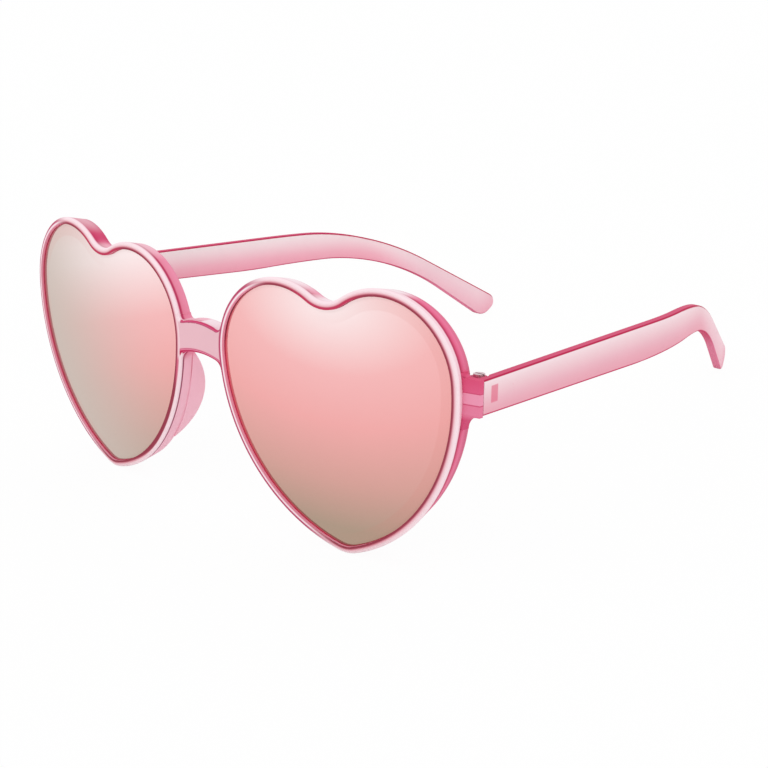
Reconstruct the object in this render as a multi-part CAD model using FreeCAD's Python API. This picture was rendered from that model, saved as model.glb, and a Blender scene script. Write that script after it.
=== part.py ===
"""Heart-shaped sunglasses with a clear moulded frame and folding temples.

Millimetres and degrees. The glasses are drawn as worn: X to the wearer's left, Y from the lenses back to the ears,
Z up, with Y zero at the foremost point of the lens surface and Z zero at the lobe centres. At the end the whole part
is pitched back until heart tips and temple tips stand on the floor, and moved so that the middle of its footprint is
the origin. Left and right are the wearer's.
"""
import math
import os

import FreeCAD
import Part
from FreeCAD import Vector

# Lens outline, at the edge of the opening in the rim
lens_spacing = 76.8          # between the two lens centres
lobe_offset = 13.7           # from a lens centre line to the centre of each lobe
lobe_radius = 16.8
notch_radius = 9.4           # hollow between the lobes
flank_radius = 40.0          # long side from lobe to tip
tip_radius = 6.8
tip_drop = 38.8              # from the lobe centres down to the tip
heart_lean = 3.3             # tips lean apart, degrees

# Front curve: balls whose centres lie behind the glasses
front_radius = 351.0         # lens surface
back_radius = 262.0          # back face of the rims, which get deeper towards the temples
front_centre_rise = 14.6     # ball centre above the lobe centres, tips the lenses forward at the top

# Rim section
rim_width = 1.95             # beyond the lens opening, at the front face
rim_depth = 4.1              # at the bridge
rim_proud = 0.7              # front face ahead of the lens surface
rim_drop = 0.2               # outer wall sits lower than the opening, so the rim is thinner at the top
rim_draft = 13.5             # outer wall narrows towards the back, degrees
rim_edge_round = 0.7         # outer front edge
rim_back_round = 0.4         # outer back edge

# Lens and its groove
lens_thickness = 1.6
groove_depth = 0.6
lens_clearance = 0.06
rear_lip = 0.5               # opening behind the lens is smaller all round by this

# Bridge
bridge_top = 3.95            # above the lobe centres, at the middle
bridge_top_radius = 20.0     # crown of the top
bridge_top_hollow = 1.2      # hollow corners between the top and the rims
bridge_under = 3.3           # below the lobe centres, at the middle
bridge_under_radius = 22.0   # arch of the underside
bridge_under_hollow = 2.2    # hollow corners between the underside and the rims
bridge_sink = 0.35           # hollow corners end inside the walls of the rims

# Nose pads
pad_thickness = 1.8
pad_border = 1.1             # outer face beyond the lens opening
pad_reach = 4.0              # behind the back of the rim
pad_length = 24.0
pad_drop = 15.5              # middle of the pad below the lobe centres
pad_seat = 0.6               # sunk into the rim

# End pieces
end_piece_reach = 2.65       # outer face of end piece and temple beyond the rim, at the seam
seam_depth = 10.5            # front end of the temples
seam_gap = 0.15
end_piece_top = 3.9
end_piece_under = 3.7
end_piece_setback = 1.5      # behind the front face of the rim
end_piece_edge = 1.0         # width of its outer face at the seam
end_piece_top_flare = 1.0    # hollow corners between end piece and rim
end_piece_under_flare = 3.0
end_piece_sink = 0.5         # flares start inside the wall of the rim

# Hinges
hinge_inset = 3.8            # axis inside the outer face
hinge_setback = 2.7          # axis behind the seam
knuckle_radius = 1.7
knuckle_clearance = 0.3      # round the knuckles, inside the temple
knuckle_height = 2.3         # middle knuckle
knuckle_gap = 0.15           # between knuckles
hinge_top = 3.4              # top of the upper knuckle
hinge_under = 3.6            # bottom of the lower knuckle, below the lobe centres
web_cover = 1.2              # knuckle webs sunk into the end piece
web_outer = 1.1              # knuckle webs reach this far outside the axis
gusset_length = 7.5          # middle knuckle's web along the temple

# Screws and nuts
screw_radius = 0.7
screw_clearance = 0.05       # radial, in the knuckles
screw_head_radius = 1.2
screw_head_height = 0.6
screw_slot_width = 0.35
screw_slot_depth = 0.3
nut_across_flats = 2.4
nut_height = 1.0
nut_clearance = 0.04
nut_recess = 0.1             # nut face inside the pocket mouth

# Temples
temple_thickness = 2.2
temple_toe = 6.5             # lean inwards, degrees
temple_flat_length = 68.2    # from the seam, seen from above
temple_plan_radius = 91.7    # inward curve after that
temple_plan_sweep = 17.0     # angle of that curve, degrees; the tip is straight again
temple_top = 3.8             # above the lobe centres
temple_front_height = 7.3
belly_from_seam = 62.0       # lowest point of the straight part
belly_drop = 8.45            # below the top edge
belly_radius = 200.0
ear_top_from_seam = 97.4     # corner of the top edge at the ear
ear_top_radius = 67.0
ear_top_angle = 31.0         # fall of the top edge behind the ear, degrees
ear_under_from_seam = 102.8  # corner of the under edge
ear_under_depth = 7.0        # below the top edge
ear_under_radius = 53.0
ear_under_angle = 37.0       # fall of the under edge, degrees
tip_top_run = 44.3           # from the ear corner to the tip, along the top edge
tip_under_run = 34.8
tip_corner_radius = 2.7
temple_edge_round = 0.45

overrun = 5.0                # cutting bodies reach past what they cut

# From the middle of the glasses to the outer face of end piece and temple at the seam
frame_half_width = lens_spacing / 2 + lobe_offset + lobe_radius + rim_width + end_piece_reach


def arc(start, middle, end):
    return Part.Arc(start, middle, end).toShape()


def turn(centre, start, end, radius):
    """Short arc about centre, from start to end."""
    middle = (start + end) * 0.5 - centre
    middle.normalize()
    return arc(start, centre + middle * radius, end)


def towards(start, end, length):
    way = end - start
    way.normalize()
    return start + way * length


def rounded_outline(corners):
    """Closed edges through corner points, each given with its rounding radius (zero stays sharp)."""
    count = len(corners)
    starts = []
    ends = []
    centres = []
    for index in range(count):
        point, radius = corners[index]
        if radius == 0:
            starts.append(point)
            ends.append(point)
            centres.append(None)
            continue
        before = corners[index - 1][0] - point
        after = corners[(index + 1) % count][0] - point
        half = before.getAngle(after) / 2
        reach = radius / math.tan(half)
        before.normalize()
        after.normalize()
        inward = before + after
        inward.normalize()
        starts.append(point + before * reach)
        ends.append(point + after * reach)
        centres.append(point + inward * (radius / math.sin(half)))
    edges = []
    for index in range(count):
        radius = corners[index][1]
        if radius > 0:
            edges.append(turn(centres[index], starts[index], ends[index], radius))
        edges.append(Part.LineSegment(ends[index], starts[(index + 1) % count]).toShape())
    return Part.Wire(edges)


def prism(wire, way):
    return Part.Face(wire).extrude(way)


def ball(radius):
    return Part.makeSphere(radius, Vector(0, front_radius, 0))


def mirrored(point):
    return Vector(-point.x, point.y, point.z)


def heart_wire(grow, depth):
    """Lens outline grown by an even border, in the plane at this depth behind the lens centre."""
    half_flank = flank_radius - lobe_radius
    tip_flank = flank_radius - tip_radius
    lobe = Vector(lobe_offset, 0, 0)
    tip = Vector(0, 0, tip_radius - tip_drop)
    notch = Vector(0, 0, math.sqrt((lobe_radius + notch_radius) ** 2 - lobe_offset ** 2))
    # Centre of the flank arc, from its distances to the lobe and tip centres
    base = tip - lobe
    span = base.Length
    along = (half_flank ** 2 - tip_flank ** 2 + span ** 2) / (2 * span)
    across = math.sqrt(half_flank ** 2 - along ** 2)
    base.normalize()
    side = Vector(base.z, 0, -base.x)
    if side.x > 0:
        side = side * -1
    flank = lobe + base * along + side * across

    notch_end = towards(notch, lobe, notch_radius - grow)
    flank_start = towards(flank, lobe, flank_radius + grow)
    flank_end = towards(flank, tip, flank_radius + grow)
    lobe_top = lobe + Vector(0, 0, lobe_radius + grow)
    notch_foot = notch - Vector(0, 0, notch_radius - grow)
    tip_foot = tip - Vector(0, 0, tip_radius + grow)
    edges = [
        arc(mirrored(notch_end), notch_foot, notch_end),
        arc(notch_end, lobe_top, flank_start),
        turn(flank, flank_start, flank_end, flank_radius + grow),
        arc(flank_end, tip_foot, mirrored(flank_end)),
        turn(mirrored(flank), mirrored(flank_end), mirrored(flank_start), flank_radius + grow),
        arc(mirrored(flank_start), mirrored(lobe_top), mirrored(notch_end)),
    ]
    wire = Part.Wire(edges)
    wire.translate(Vector(0, depth, 0))
    return wire


def heart_prism(grow):
    wire = heart_wire(grow, -overrun)
    return prism(wire, Vector(0, rim_depth + 3 * overrun, 0))


def shell(outer, inner):
    return ball(outer).cut(ball(inner))


def place_eye(shape):
    """From lens-centre coordinates to the left eye, by turns about the centre of the front ball."""
    yaw = math.degrees(math.asin(lens_spacing / 2 / front_radius))
    tilt = math.degrees(math.asin(front_centre_rise / front_radius))
    shape.rotate(Vector(0, 0, 0), Vector(0, 1, 0), -heart_lean)
    centre = Vector(0, front_radius, 0)
    shape.rotate(centre, Vector(0, 0, 1), yaw)
    shape.rotate(centre, Vector(1, 0, 0), tilt)
    shape.translate(Vector(0, 0, front_centre_rise))
    return shape


def mirror_right(shape):
    return shape.mirror(Vector(0, 0, 0), Vector(1, 0, 0))


def rim_blank():
    """Tapered heart, wider at the front; the lens opening is cut later."""
    taper = math.tan(math.radians(rim_draft))
    front = heart_wire(rim_width + overrun * taper, -overrun)
    back_depth = rim_depth + overrun
    back = heart_wire(rim_width - back_depth * taper, back_depth)
    blank = Part.makeLoft([front, back], True, True)
    blank.translate(Vector(0, 0, -rim_drop))
    return place_eye(blank)


def rim_wall(height, side):
    """Outer wall of the left rim from the middle of the glasses: beside the hinge for side 1, the bridge for -1."""
    lean = math.radians(heart_lean)
    if height > 0:
        radius = lobe_radius + rim_width
        centre = lobe_offset
    else:
        radius = flank_radius + rim_width
        centre = lobe_offset + lobe_radius - flank_radius
    level = height + rim_drop - side * centre * math.sin(lean)
    return lens_spacing / 2 + side * (centre * math.cos(lean) + math.sqrt(radius ** 2 - level ** 2))


def bridge_outline(depth):
    """Outline of the bridge at a depth behind the lens centres; its hollow corners follow the walls of the rims."""
    yaw = math.asin(lens_spacing / 2 / front_radius)
    parting = depth * (math.tan(math.radians(rim_draft)) - math.tan(yaw))
    top_wall = rim_wall(bridge_top, -1) + parting + bridge_sink
    under_wall = rim_wall(-bridge_under - bridge_under_hollow, -1) + parting + bridge_sink
    top_centre = Vector(0, depth, bridge_top - bridge_top_radius)
    under_centre = Vector(0, depth, -bridge_under - bridge_under_radius)
    # Each hollow touches the crown or the arch that it carries on
    top_x = top_wall - bridge_top_hollow
    under_x = under_wall - bridge_under_hollow
    top_rise = math.sqrt((bridge_top_radius + bridge_top_hollow) ** 2 - top_x ** 2)
    under_rise = math.sqrt((bridge_under_radius - bridge_under_hollow) ** 2 - under_x ** 2)
    top_hollow = top_centre + Vector(top_x, 0, top_rise)
    under_hollow = under_centre + Vector(under_x, 0, under_rise)
    root = lens_spacing / 2 - lobe_offset - lobe_radius + rim_width
    top_start = towards(top_hollow, top_centre, bridge_top_hollow)
    top_end = Vector(top_wall, depth, top_hollow.z)
    root_top = Vector(root, depth, top_hollow.z)
    root_under = Vector(root, depth, under_hollow.z)
    under_end = Vector(under_wall, depth, under_hollow.z)
    under_start = towards(under_centre, under_hollow, bridge_under_radius)
    side = [
        turn(top_hollow, top_start, top_end, bridge_top_hollow),
        Part.LineSegment(top_end, root_top).toShape(),
        Part.LineSegment(root_top, root_under).toShape(),
        Part.LineSegment(root_under, under_end).toShape(),
        turn(under_hollow, under_end, under_start, bridge_under_hollow),
    ]
    crown = arc(top_start, Vector(0, depth, bridge_top), mirrored(top_start))
    arch = arc(under_start, Vector(0, depth, -bridge_under), mirrored(under_start))
    return Part.Wire(Part.sortEdges([crown, arch] + side + [mirror_right(edge) for edge in side])[0])


def bridge_bar():
    """Bar between the rims."""
    bar = Part.makeLoft([bridge_outline(-overrun), bridge_outline(rim_depth + overrun)], True, True)
    bar = bar.common(front_ball()).cut(back_ball(0))
    reach = rim_wall(bridge_top, -1)
    edges = [edge for edge in edges_on_ball(bar, front_ball()) if abs(edge.CenterOfMass.x) < reach]
    return bar.makeFillet(rim_edge_round, edges)


def front_ball():
    """Ball of the rims' front face, in place."""
    return Part.makeSphere(front_radius + rim_proud, Vector(0, front_radius, front_centre_rise))


def back_ball(sink):
    """Ball of the rims' back face, in place, with its face this far inside the rims."""
    centre = Vector(0, rim_depth - rim_proud + back_radius, front_centre_rise)
    return Part.makeSphere(back_radius + sink, centre)


def nose_pad():
    """Left crescent fin that carries on the nasal wall behind the rim."""
    side = lobe_offset + lobe_radius
    rim_back = (side ** 2 + pad_drop ** 2) / (2 * front_radius) - rim_proud + rim_depth
    band = heart_prism(pad_border).cut(heart_prism(pad_border - pad_thickness))
    half = pad_length / 2
    bow = (half ** 2 + pad_reach ** 2) / (2 * pad_reach)
    foot = Vector(-side - overrun, rim_back + pad_reach - bow, -pad_drop)
    crescent = Part.makeCylinder(bow, side, foot, Vector(1, 0, 0))
    return place_eye(band.common(crescent)).common(back_ball(pad_seat))


def end_piece():
    """Block from the temporal wall of the left rim out to the seam."""
    back = seam_depth - seam_gap
    top_wall = rim_wall(end_piece_top + end_piece_top_flare, 1) - 2 * end_piece_sink
    under_wall = rim_wall(-end_piece_under - end_piece_under_flare, 1) - end_piece_sink
    top_hollow = Vector(top_wall + end_piece_top_flare, 0, end_piece_top + end_piece_top_flare)
    under_hollow = Vector(under_wall + end_piece_under_flare, 0, -end_piece_under - end_piece_under_flare)
    root = lens_spacing / 2 + lobe_offset + lobe_radius - overrun
    top_end = Vector(top_wall, 0, top_hollow.z)
    top_start = Vector(top_hollow.x, 0, end_piece_top)
    under_start = Vector(under_hollow.x, 0, -end_piece_under)
    under_end = Vector(under_wall, 0, under_hollow.z)
    corner_top = Vector(frame_half_width, 0, end_piece_top)
    corner_under = Vector(frame_half_width, 0, -end_piece_under)
    root_top = Vector(root, 0, top_hollow.z)
    root_under = Vector(root, 0, under_hollow.z)
    face_on = Part.Wire([
        Part.LineSegment(root_top, top_end).toShape(),
        turn(top_hollow, top_end, top_start, end_piece_top_flare),
        Part.LineSegment(top_start, corner_top).toShape(),
        Part.LineSegment(corner_top, corner_under).toShape(),
        Part.LineSegment(corner_under, under_start).toShape(),
        turn(under_hollow, under_start, under_end, end_piece_under_flare),
        Part.LineSegment(under_end, root_under).toShape(),
        Part.LineSegment(root_under, root_top).toShape(),
    ])
    block = prism(face_on, Vector(0, seam_depth + overrun, 0))
    wall = rim_wall(0, 1)
    front = (wall ** 2 + front_centre_rise ** 2) / (2 * front_radius) - rim_proud + end_piece_setback
    low = -flank_radius
    plan = Part.makePolygon([
        Vector(root, front, low),
        Vector(wall - end_piece_setback, front, low),
        Vector(frame_half_width, back - end_piece_edge, low),
        Vector(frame_half_width, back, low),
        Vector(root, back, low),
        Vector(root, front, low),
    ])
    return block.common(prism(plan, Vector(0, 0, 2 * flank_radius)))


def hinge_axis():
    """Foot of the left hinge axis, at the height of the lobe centres."""
    return Vector(frame_half_width - hinge_inset, seam_depth + hinge_setback, 0)


def upright(radius, low, high):
    """Round bar about the left hinge axis."""
    axis = hinge_axis()
    return Part.makeCylinder(radius, high - low, Vector(axis.x, axis.y, low))


def frame_knuckle(low, high):
    """Barrel and web of one of the front's knuckles."""
    axis = hinge_axis()
    front = seam_depth - web_cover
    web = Part.makeBox(knuckle_radius + web_outer, axis.y - front, high - low,
                       Vector(axis.x - knuckle_radius, front, low))
    return upright(knuckle_radius, low, high).fuse(web)


def hexagon(across_flats, low, high):
    axis = hinge_axis()
    corner = across_flats / math.sqrt(3)
    points = []
    for step in range(7):
        angle = math.radians(60 * step)
        points.append(Vector(axis.x + corner * math.cos(angle), axis.y + corner * math.sin(angle), low))
    return prism(Part.makePolygon(points), Vector(0, 0, high - low))


def hinge_levels():
    """Heights of the middle knuckle and of its neighbours' inner faces."""
    middle = (hinge_top - hinge_under) / 2
    half = knuckle_height / 2
    return middle - half, middle + half


def nut_levels():
    low = -hinge_under + nut_recess
    return low, low + nut_height


def edges_on_ball(shape, solid):
    """Edges that lie on the face of a ball."""
    centre = solid.CenterOfMass
    radius = solid.BoundBox.ZLength / 2
    found = []
    for edge in shape.Edges:
        points = edge.discretize(3)
        if max(abs((point - centre).Length - radius) for point in points) < screw_clearance:
            found.append(edge)
    return found


def front_frame():
    rim = rim_blank().common(front_ball()).cut(back_ball(0))
    rim = rim.makeFillet(rim_edge_round, edges_on_ball(rim, front_ball()))
    rim = rim.makeFillet(rim_back_round, edges_on_ball(rim, back_ball(0)))
    body = rim.fuse([mirror_right(rim), bridge_bar(), end_piece(), mirror_right(end_piece())])
    lens_back = front_radius - lens_thickness - lens_clearance
    opening = place_eye(heart_prism(0).cut(ball(lens_back)))
    rear_opening = place_eye(heart_prism(-rear_lip))
    groove = place_eye(heart_prism(groove_depth).common(shell(front_radius + lens_clearance, lens_back)))
    low, high = hinge_levels()
    room = upright(knuckle_radius + knuckle_clearance, low - knuckle_gap, high + knuckle_gap)
    cuts = [opening, rear_opening, groove, room]
    body = body.cut(cuts + [mirror_right(shape) for shape in cuts])
    pad = nose_pad()
    upper = frame_knuckle(high + knuckle_gap, hinge_top)
    lower = frame_knuckle(-hinge_under, low - knuckle_gap)
    added = [pad, upper, lower]
    body = body.fuse(added + [mirror_right(shape) for shape in added]).removeSplitter()
    bore = upright(screw_radius + screw_clearance, -hinge_under - overrun, hinge_top + overrun)
    nut_top = nut_levels()[1]
    pocket = hexagon(nut_across_flats + 2 * nut_clearance, -hinge_under - overrun, nut_top + nut_clearance)
    return body.cut([bore, mirror_right(bore), pocket, mirror_right(pocket)])


def lens():
    blank = heart_prism(groove_depth - lens_clearance)
    return place_eye(blank.common(shell(front_radius, front_radius - lens_thickness)))


def temple_side():
    """Side outline of the temple, swept across the width of the glasses."""
    top = temple_top
    fall = math.radians(ear_top_angle)
    under_fall = math.radians(ear_under_angle)
    ear_top = Vector(0, seam_depth + ear_top_from_seam, top)
    ear_under = Vector(0, seam_depth + ear_under_from_seam, top - ear_under_depth)
    tip_top = ear_top + Vector(0, math.cos(fall), -math.sin(fall)) * tip_top_run
    tip_under = ear_under + Vector(0, math.cos(under_fall), -math.sin(under_fall)) * tip_under_run
    wire = rounded_outline([
        (Vector(0, seam_depth, top), 0),
        (ear_top, ear_top_radius),
        (tip_top, tip_corner_radius),
        (tip_under, tip_corner_radius),
        (ear_under, ear_under_radius),
        (Vector(0, seam_depth + belly_from_seam, top - belly_drop), belly_radius),
        (Vector(0, seam_depth, top - temple_front_height), 0),
    ])
    return prism(wire, Vector(frame_half_width + overrun, 0, 0))


def temple_plan():
    """Plan of the temple: a straight stretch that leans in, an inward curve and a straight tip."""
    toe = math.radians(temple_toe)
    low = -flank_radius
    along = Vector(-math.sin(toe), math.cos(toe), 0)
    inward = Vector(-math.cos(toe), -math.sin(toe), 0)
    lead = Vector(frame_half_width, seam_depth, low)
    start = lead - along * overrun
    bend = lead + along * temple_flat_length
    centre = bend + inward * temple_plan_radius
    sweep = math.radians(temple_plan_sweep)
    tail = ear_top_from_seam + tip_top_run - temple_flat_length

    def on_curve(angle, radius):
        return centre - inward * (radius * math.cos(angle)) + along * (radius * math.sin(angle))

    outer = temple_plan_radius
    inner = temple_plan_radius - temple_thickness
    onward = Vector(-math.sin(toe + sweep), math.cos(toe + sweep), 0) * tail
    outer_end = on_curve(sweep, outer) + onward
    inner_end = on_curve(sweep, inner) + onward
    wire = Part.Wire([
        Part.LineSegment(start, bend).toShape(),
        arc(bend, on_curve(sweep / 2, outer), on_curve(sweep, outer)),
        Part.LineSegment(on_curve(sweep, outer), outer_end).toShape(),
        Part.LineSegment(outer_end, inner_end).toShape(),
        Part.LineSegment(inner_end, on_curve(sweep, inner)).toShape(),
        arc(on_curve(sweep, inner), on_curve(sweep / 2, inner), on_curve(0, inner)),
        Part.LineSegment(on_curve(0, inner), start + inward * temple_thickness).toShape(),
        Part.LineSegment(start + inward * temple_thickness, start).toShape(),
    ])
    return prism(wire, Vector(0, 0, 2 * flank_radius))


def temple():
    """Left temple with its middle knuckle."""
    arm = temple_side().common(temple_plan())
    edges = [edge for edge in arm.Edges if edge.BoundBox.YMin > seam_depth - screw_clearance
             and edge.BoundBox.YLength > screw_clearance]
    arm = arm.makeFillet(temple_edge_round, edges)
    axis = hinge_axis()
    low, high = hinge_levels()
    room = upright(knuckle_radius + knuckle_clearance, high, hinge_top + overrun)
    lower_room = upright(knuckle_radius + knuckle_clearance, -hinge_under - overrun, low)
    arm = arm.cut([room, lower_room])
    inner_face = frame_half_width - temple_thickness / 2
    web = Part.makePolygon([
        Vector(axis.x, axis.y - knuckle_radius, low),
        Vector(inner_face, axis.y - knuckle_radius, low),
        Vector(inner_face, axis.y + gusset_length, low),
        Vector(inner_face - temple_thickness, axis.y + gusset_length, low),
        Vector(axis.x, axis.y + knuckle_radius, low),
        Vector(axis.x, axis.y - knuckle_radius, low),
    ])
    knuckle = upright(knuckle_radius, low, high).fuse(prism(web, Vector(0, 0, high - low)))
    arm = arm.fuse(knuckle).removeSplitter()
    return arm.cut(upright(screw_radius + screw_clearance, low - overrun, high + overrun))


def hinge_screw():
    nut_low = nut_levels()[0]
    axis = hinge_axis()
    head_top = hinge_top + screw_head_height
    body = upright(screw_radius, nut_low, hinge_top).fuse(upright(screw_head_radius, hinge_top, head_top))
    slot = Part.makeBox(2 * screw_head_radius + overrun, screw_slot_width, screw_slot_depth + overrun,
                        Vector(axis.x - screw_head_radius - overrun / 2, axis.y - screw_slot_width / 2,
                               head_top - screw_slot_depth))
    return body.cut(slot)


def hinge_nut():
    low, high = nut_levels()
    return hexagon(nut_across_flats, low, high).cut(upright(screw_radius + nut_clearance, low - overrun, high + overrun))


def points_of(shape):
    return shape.tessellate(screw_clearance)[0]


def lowest(points, pitch):
    return min(point.z * math.cos(pitch) - point.y * math.sin(pitch) for point in points)


def standing_pitch(front_points, temple_points):
    """Angle at which the heart tips and the temple tips touch the floor together."""
    level = 0
    steep = math.radians(rim_draft + temple_toe)
    for _ in range(40):
        middle = (level + steep) / 2
        if lowest(front_points, middle) < lowest(temple_points, middle):
            level = middle
        else:
            steep = middle
    return (level + steep) / 2


def main():
    nodes = {"front_frame": front_frame()}
    for name, shape in (("lens", lens()), ("temple", temple()), ("hinge_screw", hinge_screw()),
                        ("hinge_nut", hinge_nut())):
        nodes["left_" + name] = shape
        nodes["right_" + name] = mirror_right(shape)
    front_points = points_of(nodes["front_frame"])
    temple_points = points_of(nodes["left_temple"])
    pitch = standing_pitch(front_points, temple_points)
    every_point = front_points + temple_points
    depths = [point.y * math.cos(pitch) + point.z * math.sin(pitch) for point in every_point]
    move = Vector(0, -(min(depths) + max(depths)) / 2, -lowest(every_point, pitch))
    os.makedirs("parts", exist_ok=True)
    for name, shape in nodes.items():
        shape.rotate(Vector(0, 0, 0), Vector(1, 0, 0), -math.degrees(pitch))
        shape.translate(move)
        assert shape.isValid() and len(shape.Solids) == 1, name
        shape.Solids[0].exportStep("parts/" + name + ".step")
        print(name, "volume", round(shape.Volume, 2), "box", shape.BoundBox)
    axis = FreeCAD.Placement(move, FreeCAD.Rotation(Vector(1, 0, 0), -math.degrees(pitch)))
    print("pitch", math.degrees(pitch), "move", move)
    print("left hinge axis through", axis.multVec(hinge_axis()), "along", axis.Rotation.multVec(Vector(0, 0, 1)))


main()
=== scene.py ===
import math

import bpy
from mathutils import Matrix, Vector

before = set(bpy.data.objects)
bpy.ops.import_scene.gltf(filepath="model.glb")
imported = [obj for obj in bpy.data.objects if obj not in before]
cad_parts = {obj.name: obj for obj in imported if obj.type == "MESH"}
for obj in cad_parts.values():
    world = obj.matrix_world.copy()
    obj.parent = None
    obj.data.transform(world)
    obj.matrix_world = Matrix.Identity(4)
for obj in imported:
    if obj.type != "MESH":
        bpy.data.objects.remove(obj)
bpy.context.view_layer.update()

scene = bpy.context.scene
scene.view_settings.view_transform = "Standard"

MM = 0.001

# Camera: where the photograph was taken from, in metres and degrees
CAMERA_AT = Vector((0.284773, -0.291260, 0.161521))
CAMERA_AZIMUTH = 45.836
CAMERA_ELEVATION = 20.564
CAMERA_ROLL = -4.213
CAMERA_LENS = 80.976
CAMERA_SENSOR = 36.0
CAMERA_CLIP = (0.01, 50)

# Floor, in metres: just under the part, with the share of what is seen of it that glows white
FLOOR_SIZE = 20
FLOOR_DROP = 0.1 * MM
FLOOR_TONE = (0.92, 0.92, 0.92, 1)
FLOOR_GLOW = 0.96
WORLD_WHITE = (1, 1, 1, 1)

# The part's own sizes that the paint follows, in millimetres and degrees
PITCH = 7.162212
MOVE = Vector((0, -69.745670, 40.615122))
LENS_SPACING = 76.8
LOBE_OFFSET = 13.7
LOBE_RADIUS = 16.8
NOTCH_RADIUS = 9.4
FLANK_RADIUS = 40.0
TIP_RADIUS = 6.8
TIP_DROP = 38.8
HEART_LEAN = 3.3
FRONT_RADIUS = 351.0
FRONT_RISE = 14.6
RIM_PROUD = 0.7
SEAM_DEPTH = 10.5
BRIDGE_UNDER = 3.3
BRIDGE_UNDER_RADIUS = 22.0
TEMPLE_TOP = 3.8
TEMPLE_HEIGHT = 7.3
BELLY_FROM_SEAM = 62.0
BELLY_DROP = 8.45
EAR_UNDER_FROM_SEAM = 102.8
EAR_UNDER_DEPTH = 7.0
EAR_FROM_SEAM = 97.4
EAR_ANGLE = 31.0
EAR_BLEND = 12.0

# Gloss of each material, by the shader's own sockets
PLASTIC_SHINE = {"IOR": 1.5, "Specular IOR Level": 0.0, "Coat Weight": 0.12, "Coat Roughness": 0.03}
LENS_SHINE = {"Metallic": 0.85, "Coat Weight": 0.3, "Coat Roughness": 0.02}
STEEL_SHINE = {"Metallic": 1.0}

# Unevenness of each material: roughness, spread of the tone, and strength of the ripple
PLASTIC_FINISH = {"roughness": 0.16, "spread": 0.05, "bump": 0.15}
LENS_FINISH = {"roughness": 0.06, "spread": 0.015, "bump": 0.0}
STEEL_FINISH = {"roughness": 0.3, "spread": 0.1, "bump": 0.3}
SMEAR_SHARE = 0.9
RIPPLE_HEIGHT = 0.02 * MM

# Scale and detail of the noise behind the tone, the smears, the ripple and the turned steel
TONE_GRAIN = (120, 5)
SMEAR_GRAIN = (260, 6)
RIPPLE_GRAIN = (300, 2)
STEEL_GRAIN = (1800, 3)

# How the side of the rims painted as lit, and the side of the lenses that gets the painted reflection of the
# red wall, are found
LIT_BELOW = 0.1
LIT_STEP = (-8.0, 2.0)
WEST_SLOPE = 2.5
WEST_STEP = (0.0, -8.0)

# Painted light and shade that differs between the halves: moves in millimetres, and strengths
SEAT_SHIFT = 0.54
WALL_SHIFT = 0.8
ONE_SIDED = 0.8
LIT_TOP_RIGHT = 0.46

# Screen colours of single places
CLEAR_PINK = (238, 191, 201)
OUTLINE = (190, 72, 108)
NASAL_WALL = (242, 166, 188)
UNDER_WALL = (222, 158, 178)
LOBE_WALL = (204, 60, 104)
HOLE_SHADOW = (112, 46, 62)
NOTCH_SEAT = (198, 62, 94)
BACK_FACE = (246, 206, 215)
SEEN_BRIDGE_RED = (212, 84, 118)
LENS_REFLECTED_GREY = (196, 179, 167)
LENS_BAND = (214, 120, 112)
LENS_SHADE = (150, 110, 100)
LENS_WALL_REFLECTION = (255, 146, 166)
LENS_RIM = (206, 96, 122)
LENS_BACK = (150, 98, 96)
ARM_TAIL = (246, 203, 214)
ARM_END = (236, 132, 164)
ARM_LEAF = (230, 104, 136)
ARM_UNDER = (204, 62, 104)
ARM_SLOPE = (190, 40, 82)
ARM_TOP = (212, 84, 120)
ARM_HOOK = (242, 156, 184)
STEEL_LIGHT = (232, 208, 213)
STEEL_DARK = (182, 148, 157)

# Colour ramps, as (place, screen colour), with places in millimetres unless said otherwise

# Faces, out from the opening: a painted lit copy with a painted glint, and a painted shaded copy with a dark
# outline
LIT_FACE = [
    (0.0, (154, 60, 78)), (0.38, (162, 68, 86)), (0.58, (218, 138, 152)), (0.8, (242, 192, 202)),
    (1.0, (246, 208, 215)), (1.25, (250, 220, 226)), (1.6, (253, 226, 232)), (2.2, (240, 196, 208)),
    (3.0, CLEAR_PINK)]
DIM_FACE = [
    (0.0, (226, 116, 144)), (0.18, (236, 156, 176)), (0.34, (248, 204, 215)), (0.48, (255, 240, 245)),
    (0.64, (255, 238, 244)), (0.78, (216, 130, 156)), (0.9, (190, 78, 112)), (1.3, OUTLINE),
    (2.2, CLEAR_PINK), (3.0, CLEAR_PINK)]

# Edges, by how far they look forward, from 0 to 1: a painted highlight on the lit side, a dark outline on the
# painted shaded side
LIT_EDGE = [(0.0, (248, 208, 219)), (0.35, (254, 230, 237)), (0.8, (255, 231, 237)), (1.0, (250, 220, 226))]
DIM_EDGE = [(0.0, (196, 84, 120)), (1.0, OUTLINE)]

# Walls, back from the front face: painted lit and shaded copies, painted light on walls that look up, and by
# the pad a painted glint and painted shade in the crease
LIT_WALL = [
    (0.6, (250, 214, 224)), (0.85, (234, 162, 184)), (1.05, (182, 54, 92)), (1.4, (192, 60, 98)),
    (1.8, (216, 82, 120)), (2.4, (229, 104, 143)), (3.4, (236, 122, 158)), (4.4, (226, 112, 148)),
    (5.5, (206, 98, 132))]
DIM_WALL = [(0.6, (200, 90, 124)), (2.5, (224, 108, 146)), (5.0, (230, 122, 156))]
LIT_TOP_WALL = [
    (0.6, (252, 228, 234)), (0.9, (240, 206, 216)), (1.4, (247, 224, 231)), (3.5, (249, 230, 236)),
    (4.6, (236, 206, 216)), (6.0, (226, 168, 186))]
PAD_WALL = [
    (0.6, (255, 240, 245)), (0.66, (252, 230, 237)), (0.78, (150, 72, 98)), (1.1, (156, 78, 104)),
    (1.25, (248, 194, 210)), (8.0, (252, 200, 214))]
HOLE_WALL = [
    (0.0, (232, 158, 175)), (0.15, (248, 180, 196)), (0.4, (246, 150, 174)), (0.55, (252, 108, 146)),
    (0.9, (252, 104, 144)), (1.4, (232, 96, 132)), (3.0, (226, 120, 150))]

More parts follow.
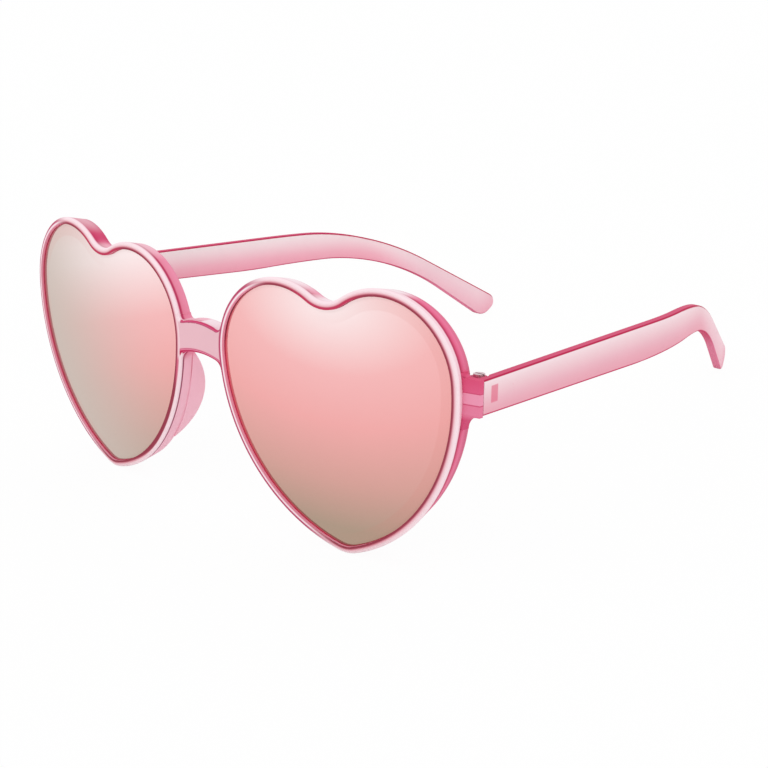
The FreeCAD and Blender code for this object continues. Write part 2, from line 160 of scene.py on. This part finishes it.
# Bridge: its rounded edges by how far they look forward, and its underside up from the arch
BRIDGE_EDGE = [
    (0.0, (214, 84, 126)), (0.5, (206, 60, 104)), (0.8, (214, 90, 130)), (0.93, (170, 72, 102)),
    (0.98, CLEAR_PINK), (1.0, CLEAR_PINK)]
BRIDGE_ARCH = [
    (0.0, (196, 40, 84)), (0.45, (202, 50, 94)), (0.62, (236, 150, 178)), (0.8, (206, 74, 114)),
    (1.0, (238, 182, 196)), (1.2, CLEAR_PINK)]

# End pieces, up from the hinge
END_BANDS = [
    (-4.5, (214, 84, 124)), (-3.2, (232, 130, 162)), (-1.5, (232, 128, 160)), (-1.3, (206, 70, 110)),
    (-1.1, (240, 154, 182)), (0.95, (240, 154, 182)), (1.1, (208, 70, 110)), (1.3, (226, 96, 136)),
    (3.9, (222, 84, 124))]

# Lenses, out from the middle of the painted reflected glow: pale, pink, rose, brown and taupe
LENS_COAT_AND_REFLECTION = [
    (2.0, (254, 236, 236)), (16.0, (247, 184, 184)), (27.0, (242, 170, 168)), (40.0, (214, 160, 150)),
    (51.0, (174, 150, 130))]

# Arms, down from the top
ARM_OUTER = [
    (0.0, (251, 232, 236)), (1.5, (247, 217, 223)), (3.0, (244, 204, 212)), (4.5, (241, 189, 201)),
    (6.0, (239, 177, 191)), (7.6, (238, 168, 184))]
ARM_INNER = [(0.0, (255, 243, 244)), (2.5, (255, 224, 230)), (5.5, (252, 188, 203)), (8.6, (248, 160, 182))]


def linear(screen):
    """Scene-linear colour of 8-bit screen values."""
    out = []
    for value in screen:
        part = value / 255
        out.append(part / 12.92 if part <= 0.04045 else ((part + 0.055) / 1.055) ** 2.4)
    return (*out, 1.0)


class Field:
    """A number that varies over a surface, worked out by the nodes of one material."""

    def __init__(self, paint, socket):
        self.paint = paint
        self.socket = socket

    def __add__(self, other):
        return self.paint.math("ADD", self, other)

    def __sub__(self, other):
        return self.paint.math("SUBTRACT", self, other)

    def __mul__(self, other):
        return self.paint.math("MULTIPLY", self, other)

    def inverse(self):
        return self.paint.math("SUBTRACT", 1.0, self)


class Paint:
    """One material: a Principled shader and the fields and colours that drive it."""

    def __init__(self, name):
        self.material = bpy.data.materials.new(name)
        self.material.use_nodes = True
        tree = self.material.node_tree
        self.nodes = tree.nodes
        self.links = tree.links
        self.nodes.clear()
        coords = self.nodes.new("ShaderNodeTexCoord")
        self.metres = coords.outputs["Object"]
        self.normal = coords.outputs["Normal"]
        self.shader = self.nodes.new("ShaderNodeBsdfPrincipled")
        out = self.nodes.new("ShaderNodeOutputMaterial")
        self.links.new(self.shader.outputs["BSDF"], out.inputs["Surface"])

    def feed(self, value, socket):
        """Link a field or an output to a socket, or set the socket to a constant."""
        if isinstance(value, Field):
            self.links.new(value.socket, socket)
        elif isinstance(value, bpy.types.NodeSocket):
            self.links.new(value, socket)
        else:
            socket.default_value = value

    def operate(self, kind, operation, values):
        node = self.nodes.new(kind)
        node.operation = operation
        for value, socket in zip(values, node.inputs):
            self.feed(value, socket)
        return node

    def math(self, operation, *values):
        return Field(self, self.operate("ShaderNodeMath", operation, values).outputs["Value"])

    def vector(self, operation, *values):
        return self.operate("ShaderNodeVectorMath", operation, values)

    def along(self, source, direction):
        """Part of a vector along a direction."""
        return Field(self, self.vector("DOT_PRODUCT", source, direction).outputs["Value"])

    def step(self, field, low, high):
        """0 to 1 as the field goes from low to high, with soft ends."""
        node = self.nodes.new("ShaderNodeMapRange")
        node.interpolation_type = "SMOOTHSTEP"
        self.feed(field, node.inputs["Value"])
        node.inputs["From Min"].default_value = min(low, high)
        node.inputs["From Max"].default_value = max(low, high)
        rising = Field(self, node.outputs["Result"])
        return rising if low < high else rising.inverse()

    def ramp(self, field, stops):
        """Colour by a field, from stops of (value, screen colour)."""
        low = stops[0][0]
        high = stops[-1][0]
        scaled = (field - low) * (1 / (high - low))
        node = self.nodes.new("ShaderNodeValToRGB")
        elements = node.color_ramp.elements
        elements.remove(elements[0])
        elements[0].position = 0
        elements[0].color = linear(stops[0][1])
        for value, screen in stops[1:]:
            elements.new((value - low) / (high - low)).color = linear(screen)
        self.feed(scaled, node.inputs["Fac"])
        return node.outputs["Color"]

    def blend(self, mask, under, over, strength=1.0):
        """Colour over another where the mask is 1, as far as the strength says."""
        node = self.nodes.new("ShaderNodeMix")
        node.data_type = "RGBA"
        self.feed(mask if strength == 1.0 else mask * strength, node.inputs["Factor"])
        colour_in = [socket for socket in node.inputs if socket.type == "RGBA"]
        for value, socket in zip((under, over), colour_in):
            self.feed(linear(value) if isinstance(value, tuple) else value, socket)
        return [socket for socket in node.outputs if socket.type == "RGBA"][0]

    def grain(self, scale, detail):
        """Fine uneven field around 0, from -0.5 to 0.5."""
        node = self.nodes.new("ShaderNodeTexNoise")
        node.inputs["Scale"].default_value = scale
        node.inputs["Detail"].default_value = detail
        self.links.new(self.metres, node.inputs["Vector"])
        return Field(self, node.outputs["Fac"]) - 0.5

    def finish(self, colour, roughness, spread, bump):
        """Base colour with a slight unevenness, roughness with smears, and a shallow moulded ripple."""
        tone = self.nodes.new("ShaderNodeHueSaturation")
        self.feed(self.grain(*TONE_GRAIN) * spread + 1.0, tone.inputs["Value"])
        self.feed(colour, tone.inputs["Color"])
        self.links.new(tone.outputs["Color"], self.shader.inputs["Base Color"])
        smears = self.grain(*SMEAR_GRAIN) * (roughness * SMEAR_SHARE) + roughness
        self.feed(smears, self.shader.inputs["Roughness"])
        ripple = self.nodes.new("ShaderNodeBump")
        ripple.inputs["Strength"].default_value = bump
        ripple.inputs["Distance"].default_value = RIPPLE_HEIGHT
        self.feed(self.grain(*RIPPLE_GRAIN), ripple.inputs["Height"])
        self.links.new(ripple.outputs["Normal"], self.shader.inputs["Normal"])

    def shine(self, values):
        """Set constant inputs of the shader."""
        for name, value in values.items():
            self.shader.inputs[name].default_value = value

    # Places on the part

    def split(self):
        node = self.nodes.new("ShaderNodeSeparateXYZ")
        self.links.new(self.metres, node.inputs["Vector"])
        return node.outputs

    def spot(self):
        """Position with the right half turned over onto the left."""
        split = self.split()
        join = self.nodes.new("ShaderNodeCombineXYZ")
        self.feed(self.math("ABSOLUTE", Field(self, split["X"])), join.inputs["X"])
        self.links.new(split["Y"], join.inputs["Y"])
        self.links.new(split["Z"], join.inputs["Z"])
        scale = self.vector("MULTIPLY", join.outputs["Vector"], (1 / MM, 1 / MM, 1 / MM))
        return scale.outputs["Vector"]

    def half(self):
        """1 on the left half of the part and -1 on the right half."""
        return self.math("SIGN", Field(self, self.split()["X"]))

    def coordinate(self, spot, row):
        """One coordinate of a spot, by a row of a placing matrix."""
        return self.along(spot, Vector(row[:3])) + row[3]

    def distance(self, first, second, centre):
        a = first - centre.x
        b = second - centre.y
        return self.math("SQRT", a * a + b * b)


def by_half(half, left, right):
    """One value on the left half of the part and another on the right half."""
    return half * ((left - right) / 2) + (left + right) / 2


def worn_to_scene():
    """From the part as worn to the part as it stands, in millimetres."""
    return Matrix.Translation(MOVE) @ Matrix.Rotation(math.radians(-PITCH), 4, "X")


def lens_to_worn():
    """From the left lens, lying flat at the origin, to its place in the front as worn."""
    yaw = math.asin(LENS_SPACING / 2 / FRONT_RADIUS)
    tilt = math.asin(FRONT_RISE / FRONT_RADIUS)
    centre = Matrix.Translation((0, FRONT_RADIUS, 0))
    turn = Matrix.Rotation(tilt, 4, "X") @ Matrix.Rotation(yaw, 4, "Z")
    lean = Matrix.Rotation(math.radians(-HEART_LEAN), 4, "Y")
    return Matrix.Translation((0, 0, FRONT_RISE)) @ centre @ turn @ centre.inverted() @ lean


SCENE_TO_WORN = worn_to_scene().inverted()
SCENE_TO_LENS = (worn_to_scene() @ lens_to_worn()).inverted()
BALL_CENTRE = worn_to_scene() @ Vector((0, FRONT_RADIUS, FRONT_RISE))
LENS_UP = worn_to_scene().to_3x3() @ Vector((0, 0, 1))
WORN_BACK = worn_to_scene().to_3x3() @ Vector((0, 1, 0))


def heart_border(paint, side, height):
    """Distance outside the edge of the lens opening, from the arcs of the heart."""
    side = paint.math("ABSOLUTE", side)
    lobe = Vector((LOBE_OFFSET, 0))
    tip = Vector((0, TIP_RADIUS - TIP_DROP))
    notch = Vector((0, math.sqrt((LOBE_RADIUS + NOTCH_RADIUS) ** 2 - LOBE_OFFSET ** 2)))
    near = FLANK_RADIUS - LOBE_RADIUS
    far = FLANK_RADIUS - TIP_RADIUS
    base = tip - lobe
    span = base.length
    along = (near ** 2 - far ** 2 + span ** 2) / (2 * span)
    across = math.sqrt(near ** 2 - along ** 2)
    base.normalize()
    flank = lobe + base * along + Vector((base.y, -base.x)) * across

    def left_of(start, end):
        """1 on the left of a line, looking from start to end."""
        way = end - start
        turn = (height - start.y) * way.x - (side - start.x) * way.y
        return paint.math("GREATER_THAN", turn, 0.0)

    at_lobe = paint.distance(side, height, lobe) - LOBE_RADIUS
    at_flank = paint.distance(side, height, flank) - FLANK_RADIUS
    at_tip = paint.distance(side, height, tip) - TIP_RADIUS
    at_notch = (paint.distance(side, height, notch) - NOTCH_RADIUS) * -1.0
    upper = left_of(flank, lobe)
    in_lobe = left_of(notch, lobe)
    in_flank = left_of(flank, tip)
    above = at_lobe * in_lobe + at_notch * in_lobe.inverse()
    below = at_flank * in_flank + at_tip * in_flank.inverse()
    return above * upper + below * upper.inverse()


class FrontPlaces:
    """Places on the front and the lenses, with the right half turned over onto the left."""

    def __init__(self, paint):
        self.paint = paint
        self.spot = paint.spot()
        self.half = paint.half()
        self.side = paint.coordinate(self.spot, SCENE_TO_LENS[0])
        self.height = paint.coordinate(self.spot, SCENE_TO_LENS[2])
        self.above = paint.math("MAXIMUM", self.height, 0.0)
        self.east = self.side * self.half
        self.border = heart_border(paint, self.side, self.height)
        self.radial = paint.vector("SUBTRACT", paint.metres, BALL_CENTRE * MM).outputs["Vector"]
        outward = paint.vector("NORMALIZE", self.radial).outputs["Vector"]
        self.facing = paint.along(paint.normal, outward)

    def depth(self):
        """How far behind the front face of the rims."""
        reach = Field(self.paint, self.paint.vector("LENGTH", self.radial).outputs["Value"])
        return (reach * -1.0 + (FRONT_RADIUS + RIM_PROUD) * MM) * (1 / MM)


def front_plastic():
    """Clear pink plastic of the front. Each step below is one zone: where it starts and where it is full."""
    paint = Paint("front_plastic")
    at = FrontPlaces(paint)
    side, height, border, facing, half = at.side, at.height, at.border, at.facing, at.half
    depth = at.depth()
    worn_x = paint.coordinate(at.spot, SCENE_TO_WORN[0])
    worn_z = paint.coordinate(at.spot, SCENE_TO_WORN[2])
    upward = paint.along(paint.normal, LENS_UP)
    below = paint.math("MAXIMUM", height * -1.0, 0.0)
    # Painted light: the side of each rim taken as lit, towards +X and the top; the rest gets the painted
    # shaded colours
    lit = paint.step(at.east + at.above + below * LIT_BELOW, *LIT_STEP)
    nasal = paint.step(side, -4.0, -12.0)
    faces_front = paint.step(facing, 0.9, 0.98)

    # Front face, from the opening out: seat of the lens, pale rim, and at the edge a painted glint on the lit
    # side and a dark outline on the painted shaded side
    low_flank = paint.step(height, -4.0, -14.0) * paint.step(height, -37.0, -28.0)
    seat_shift = low_flank * by_half(half, 0.0, SEAT_SHIFT)
    lit_face = paint.ramp(border - seat_shift, LIT_FACE)
    face = paint.blend(lit, paint.ramp(border, DIM_FACE), lit_face)

    # Rounded outer edge with a painted highlight on the lit side, and the wall behind it in painted lit and
    # shaded copies
    edge = paint.blend(lit, paint.ramp(facing, DIM_EDGE), paint.ramp(facing, LIT_EDGE))
    temporal = paint.step(side, 8.0, 18.0) * paint.step(height, -12.0, -4.0)
    wall_shift = temporal * by_half(half, WALL_SHIFT, 0.0)
    lit_wall = paint.ramp(depth - wall_shift, LIT_WALL)
    deep_nasal = nasal * paint.step(depth, 1.4, 1.9)
    lit_wall = paint.blend(deep_nasal, lit_wall, NASAL_WALL, strength=0.5)
    looks_down = paint.step(upward, -0.5, -0.9)
    dim_wall = paint.blend(looks_down, paint.ramp(depth, DIM_WALL), UNDER_WALL)
    wall = paint.blend(lit, dim_wall, lit_wall)
    # Painted shade: crimson on the wall at the inner lobe, on the right half only
    inner_lobe = paint.step(side, 1.0, 5.0) * paint.step(height, 4.0, 9.0) * paint.step(depth, 0.8, 1.1)
    wall = paint.blend(inner_lobe * by_half(half, 0.0, ONE_SIDED), wall, LOBE_WALL)
    # Painted light on the walls that look up, weaker on the right half
    looks_up = paint.step(upward, 0.84, 0.98)
    pale = looks_up * paint.step(side, 22.0, 17.0) * by_half(half, 1.0, LIT_TOP_RIGHT)
    wall = paint.blend(pale, wall, paint.ramp(depth, LIT_TOP_WALL))
    # Beside the nose pad: a painted glint on the rounding, then painted shade in the crease between rim and
    # pad
    beside_pad = nasal * paint.step(height, -2.5, -5.0)
    wall = paint.blend(beside_pad, wall, paint.ramp(depth, PAD_WALL))

    # Wall of the opening, down to the lens, with a painted shadow high in the left rim
    near_lens = paint.step(depth, 0.35, 0.55) * paint.step(depth, 2.4, 1.8)
    shadow = near_lens * paint.step(height, -2.0, 7.0) * by_half(half, ONE_SIDED, 0.0)
    hole_wall = paint.blend(shadow, paint.ramp(depth, HOLE_WALL), HOLE_SHADOW)

    # Rim put together: wall, edge, front face, red seat at the notch, wall of the opening and back
    front = paint.step(depth, 1.4, 1.0)
    colour = paint.blend(front * paint.step(facing, 0.0, 0.3), wall, edge)
    colour = paint.blend(front * paint.step(facing, 0.95, 0.99), colour, face)
    notch = paint.step(paint.math("ABSOLUTE", side), 11.0, 6.0) * paint.step(height, 2.0, 8.0)
    notch_seat = notch * paint.step(border, 0.62, 0.42) * faces_front
    colour = paint.blend(notch_seat, colour, NOTCH_SEAT)
    hole = paint.step(border, 0.6, 0.35) * paint.step(facing, 0.8, 0.6)
    colour = paint.blend(hole, colour, hole_wall)
    faces_back = paint.step(facing, -0.6, -0.9)
    colour = paint.blend(faces_back, colour, BACK_FACE)

    # Painted refraction: red of the bridge seen through the nasal rim just below it, on the painted lit side
    # only
    on_rim = paint.step(border, 0.3, 0.5) * paint.step(border, 1.3, 1.0)
    below_bridge = paint.step(worn_z, -5.0, -6.5) * paint.step(worn_z, -14.0, -8.0)
    seen_bridge = nasal * faces_front * on_rim * below_bridge * lit
    colour = paint.blend(seen_bridge, colour, SEEN_BRIDGE_RED, strength=0.75)

    # Bridge: clear face, crimson along the top edge and along the arch below
    between = paint.step(worn_x, 9.4, 8.2) * paint.step(border, 1.15, 1.5)
    bridge = between * paint.step(worn_z, -5.6, -4.6) * paint.step(worn_z, 4.6, 3.9)
    clear_of_rim = paint.step(border, 1.8, 2.2)
    rounded = bridge * clear_of_rim * paint.step(facing, 0.1, 0.3)
    colour = paint.blend(rounded, colour, paint.ramp(facing, BRIDGE_EDGE))
    colour = paint.blend(bridge * faces_front, colour, CLEAR_PINK)
    arch = worn_z + worn_x * worn_x * (0.5 / BRIDGE_UNDER_RADIUS) + BRIDGE_UNDER
    low_edge = bridge * paint.step(facing, 0.7, 0.9) * paint.step(arch, 1.4, 1.1)
    colour = paint.blend(low_edge, colour, paint.ramp(arch, BRIDGE_ARCH))

    # End pieces: the knuckles show through as bands
    at_end = paint.step(side, 18.0, 22.0)
    outside = paint.step(border, 1.75, 2.0)
    behind = paint.step(depth, 1.2, 1.5) * paint.step(facing, 0.05, 0.2)
    block = at_end * paint.math("MAXIMUM", outside, behind) * paint.step(facing, -0.3, 0.0)
    colour = paint.blend(block, colour, paint.ramp(worn_z, END_BANDS))
    paint.finish(colour, **PLASTIC_FINISH)
    paint.shine(PLASTIC_SHINE)
    return paint.material


def lens_coat_and_reflection(name, centre, spread, tilt, drift=None):
    """Pink mirror coating with a painted reflection over it: a pale glow high on the lens that turns pink and
    then taupe away from it.

    The glow's centre is in millimetres on the lens. Spread and tilt stretch it and lean it.
    Drift turns one side grey with a painted reflection: by side, by height, and at the middle.
    """
    paint = Paint(name)
    at = FrontPlaces(paint)
    side, height, border = at.side, at.height, at.border
    from_side = side - centre[0]
    from_height = height - centre[1]
    across = from_side * spread[0] + from_height * tilt[0]
    down = from_side * tilt[1] + from_height * spread[1]
    radius = paint.math("SQRT", across * across + down * down)
    # Painted reflection over the coating's pink: the glow, and the grey on one side
    tone = paint.ramp(radius, LENS_COAT_AND_REFLECTION)
    if drift:
        grey = paint.step(side * drift[0] + height * drift[1] + drift[2], 0.0, 1.0)
        tone = paint.blend(grey, tone, LENS_REFLECTED_GREY)

    # Towards the edge: a faint temporal band, a painted shade, a painted reflection of the red wall on one
    # side, and a line
    band = paint.step(border, -3.1, -2.7) * paint.step(side, -6.0, 16.0)
    tone = paint.blend(band, tone, LENS_BAND, strength=0.12)
    shade = paint.step(border, -1.0, -0.3)
    tone = paint.blend(shade, tone, LENS_SHADE, strength=0.1)
    west = paint.step(at.east + at.above * WEST_SLOPE, *WEST_STEP)
    wall_reflection = west * paint.step(border, -0.5, -0.2)
    tone = paint.blend(wall_reflection, tone, LENS_WALL_REFLECTION, strength=0.75)
    line = paint.step(border, -0.14, -0.05)
    tone = paint.blend(line, tone, LENS_RIM)
    faces_back = paint.step(at.facing, 0.3, -0.3)
    colour = paint.blend(faces_back, tone, LENS_BACK)
    paint.finish(colour, **LENS_FINISH)
    paint.shine(LENS_SHINE)
    return paint.material


def temple_plastic():
    """Clear pink plastic of the arms. Depth runs back from the seam at the hinge, level up from the hinge."""
    paint = Paint("temple_plastic")
    spot = paint.spot()
    depth = paint.coordinate(spot, SCENE_TO_WORN[1]) - SEAM_DEPTH
    level = paint.coordinate(spot, SCENE_TO_WORN[2])
    beyond_ear = paint.math("SMOOTH_MAX", depth - EAR_FROM_SEAM, 0.0, EAR_BLEND)
    top = beyond_ear * -math.tan(math.radians(EAR_ANGLE)) + TEMPLE_TOP
    below_top = top - level
    looks_out = paint.along(paint.normal, (1, 0, 0)) * paint.half()
    looks_up = paint.along(paint.normal, LENS_UP)
    looks_back = paint.along(paint.normal, WORN_BACK)

    # Sides: paler at the top, pinker at the tip, with a darker patch beside the hinge
    outward = paint.step(looks_out, -0.2, 0.2)
    side = paint.blend(outward, paint.ramp(below_top, ARM_INNER), paint.ramp(below_top, ARM_OUTER))
    past_ear = paint.step(depth, 98.0, 116.0)
    at_end = paint.step(depth, 128.0, 136.0)
    side = paint.blend(past_ear, side, paint.blend(at_end, ARM_TAIL, ARM_END), strength=0.6)
    leaf_length = paint.step(depth, 2.3, 2.6) * paint.step(depth, 4.9, 4.6)
    leaf_height = paint.step(level, -1.4, -1.1) * paint.step(level, 2.4, 2.1)
    leaf = leaf_length * leaf_height * paint.step(looks_out, 0.3, 0.6)
    side = paint.blend(leaf, side, ARM_LEAF, strength=0.7)

    # Crimson edges above and below, paler under the hook of the tip
    rim = paint.blend(paint.step(looks_up, -0.2, 0.2), ARM_UNDER, ARM_SLOPE)
    rim = paint.blend(paint.step(looks_up, 0.93, 0.99), rim, ARM_TOP)
    hook = paint.step(depth, 106.0, 120.0) * paint.step(looks_up, 0.1, -0.1)
    rim = paint.blend(hook, rim, ARM_HOOK, strength=0.6)
    steep = paint.step(paint.math("ABSOLUTE", looks_up), 0.16, 0.5)
    tip_end = paint.step(looks_back, 0.6, 0.85)
    edges = paint.math("MAXIMUM", steep, tip_end)

    # Crimson line along the lower edge of the outer side
    to_belly = depth * ((BELLY_DROP - TEMPLE_HEIGHT) / BELLY_FROM_SEAM) + TEMPLE_HEIGHT
    belly_slope = (EAR_UNDER_DEPTH - BELLY_DROP) / (EAR_UNDER_FROM_SEAM - BELLY_FROM_SEAM)
    past_belly = (depth - BELLY_FROM_SEAM) * belly_slope + BELLY_DROP
    lower_edge = paint.math("MINIMUM", to_belly, past_belly)
    hem = paint.step(below_top - lower_edge, -0.52, -0.36) * paint.step(depth, 90.0, 82.0)
    edges = paint.math("MAXIMUM", edges, hem * paint.step(looks_out, 0.2, 0.5))
    colour = paint.blend(edges, side, rim)
    paint.finish(colour, **PLASTIC_FINISH)
    paint.shine(PLASTIC_SHINE)
    return paint.material


def screw_steel():
    paint = Paint("screw_steel")
    turned = paint.blend(paint.grain(*STEEL_GRAIN) + 0.5, STEEL_LIGHT, STEEL_DARK)
    paint.finish(turned, **STEEL_FINISH)
    paint.shine(STEEL_SHINE)
    return paint.material


def make_camera():
    data = bpy.data.cameras.new("camera")
    data.sensor_width = CAMERA_SENSOR
    data.lens = CAMERA_LENS
    data.clip_start, data.clip_end = CAMERA_CLIP
    camera = bpy.data.objects.new("camera", data)
    scene.collection.objects.link(camera)
    az = math.radians(CAMERA_AZIMUTH)
    el = math.radians(CAMERA_ELEVATION)
    roll = math.radians(CAMERA_ROLL)
    forward = Vector((-math.sin(az) * math.cos(el), math.cos(az) * math.cos(el), -math.sin(el)))
    level = Vector((math.cos(az), math.sin(az), 0))
    up = level.cross(forward)
    right = level * math.cos(roll) + up * math.sin(roll)
    top = up * math.cos(roll) - level * math.sin(roll)
    turn = Matrix((right, top, -forward)).transposed()
    camera.matrix_world = Matrix.Translation(CAMERA_AT) @ turn.to_4x4()
    scene.camera = camera


def floor_white():
    """Pale floor that shows as white, and still takes the object's shadow."""
    material = bpy.data.materials.new("floor_white")
    material.use_nodes = True
    nodes = material.node_tree.nodes
    links = material.node_tree.links
    nodes.clear()
    out = nodes.new("ShaderNodeOutputMaterial")
    matt = nodes.new("ShaderNodeBsdfDiffuse")
    matt.inputs["Color"].default_value = FLOOR_TONE
    glow = nodes.new("ShaderNodeEmission")
    path = nodes.new("ShaderNodeLightPath")
    seen = path.outputs["Is Camera Ray"]
    for kind in ("Is Glossy Ray", "Is Transmission Ray"):
        either = nodes.new("ShaderNodeMath")
        either.operation = "MAXIMUM"
        links.new(seen, either.inputs[0])
        links.new(path.outputs[kind], either.inputs[1])
        seen = either.outputs["Value"]
    share = nodes.new("ShaderNodeMath")
    share.operation = "MULTIPLY"
    share.inputs[1].default_value = FLOOR_GLOW
    links.new(seen, share.inputs[0])
    mix = nodes.new("ShaderNodeMixShader")
    links.new(share.outputs["Value"], mix.inputs["Fac"])
    links.new(matt.outputs["BSDF"], mix.inputs[1])
    links.new(glow.outputs["Emission"], mix.inputs[2])
    links.new(mix.outputs["Shader"], out.inputs["Surface"])
    return material


def make_stage():
    """White floor under a white world, which lights the part."""
    bpy.ops.mesh.primitive_plane_add(size=FLOOR_SIZE, location=(0, 0, -FLOOR_DROP))
    floor = bpy.context.object
    floor.name = "floor"
    floor.data.materials.append(floor_white())
    world = bpy.data.worlds.new("studio")
    scene.world = world
    world.use_nodes = True
    background = world.node_tree.nodes["Background"]
    background.inputs["Color"].default_value = WORLD_WHITE
    background.inputs["Strength"].default_value = 1.0


make_camera()
make_stage()
finishes = {
    "front_frame": front_plastic(),
    "left_lens": lens_coat_and_reflection(
        "left_lens_coat", centre=(1.0, 15.0), spread=(0.55, 1.0), tilt=(-0.22, 0.15)),
    "right_lens": lens_coat_and_reflection(
        "right_lens_coat", centre=(8.0, 11.0), spread=(0.04, 0.92), tilt=(0.13, 0.3),
        drift=(0.014, -0.01, 0.41)),
}
arms = temple_plastic()
steel = screw_steel()
for name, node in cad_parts.items():
    node.data.materials.clear()
    node.data.materials.append(finishes.get(name) or (arms if "temple" in name else steel))
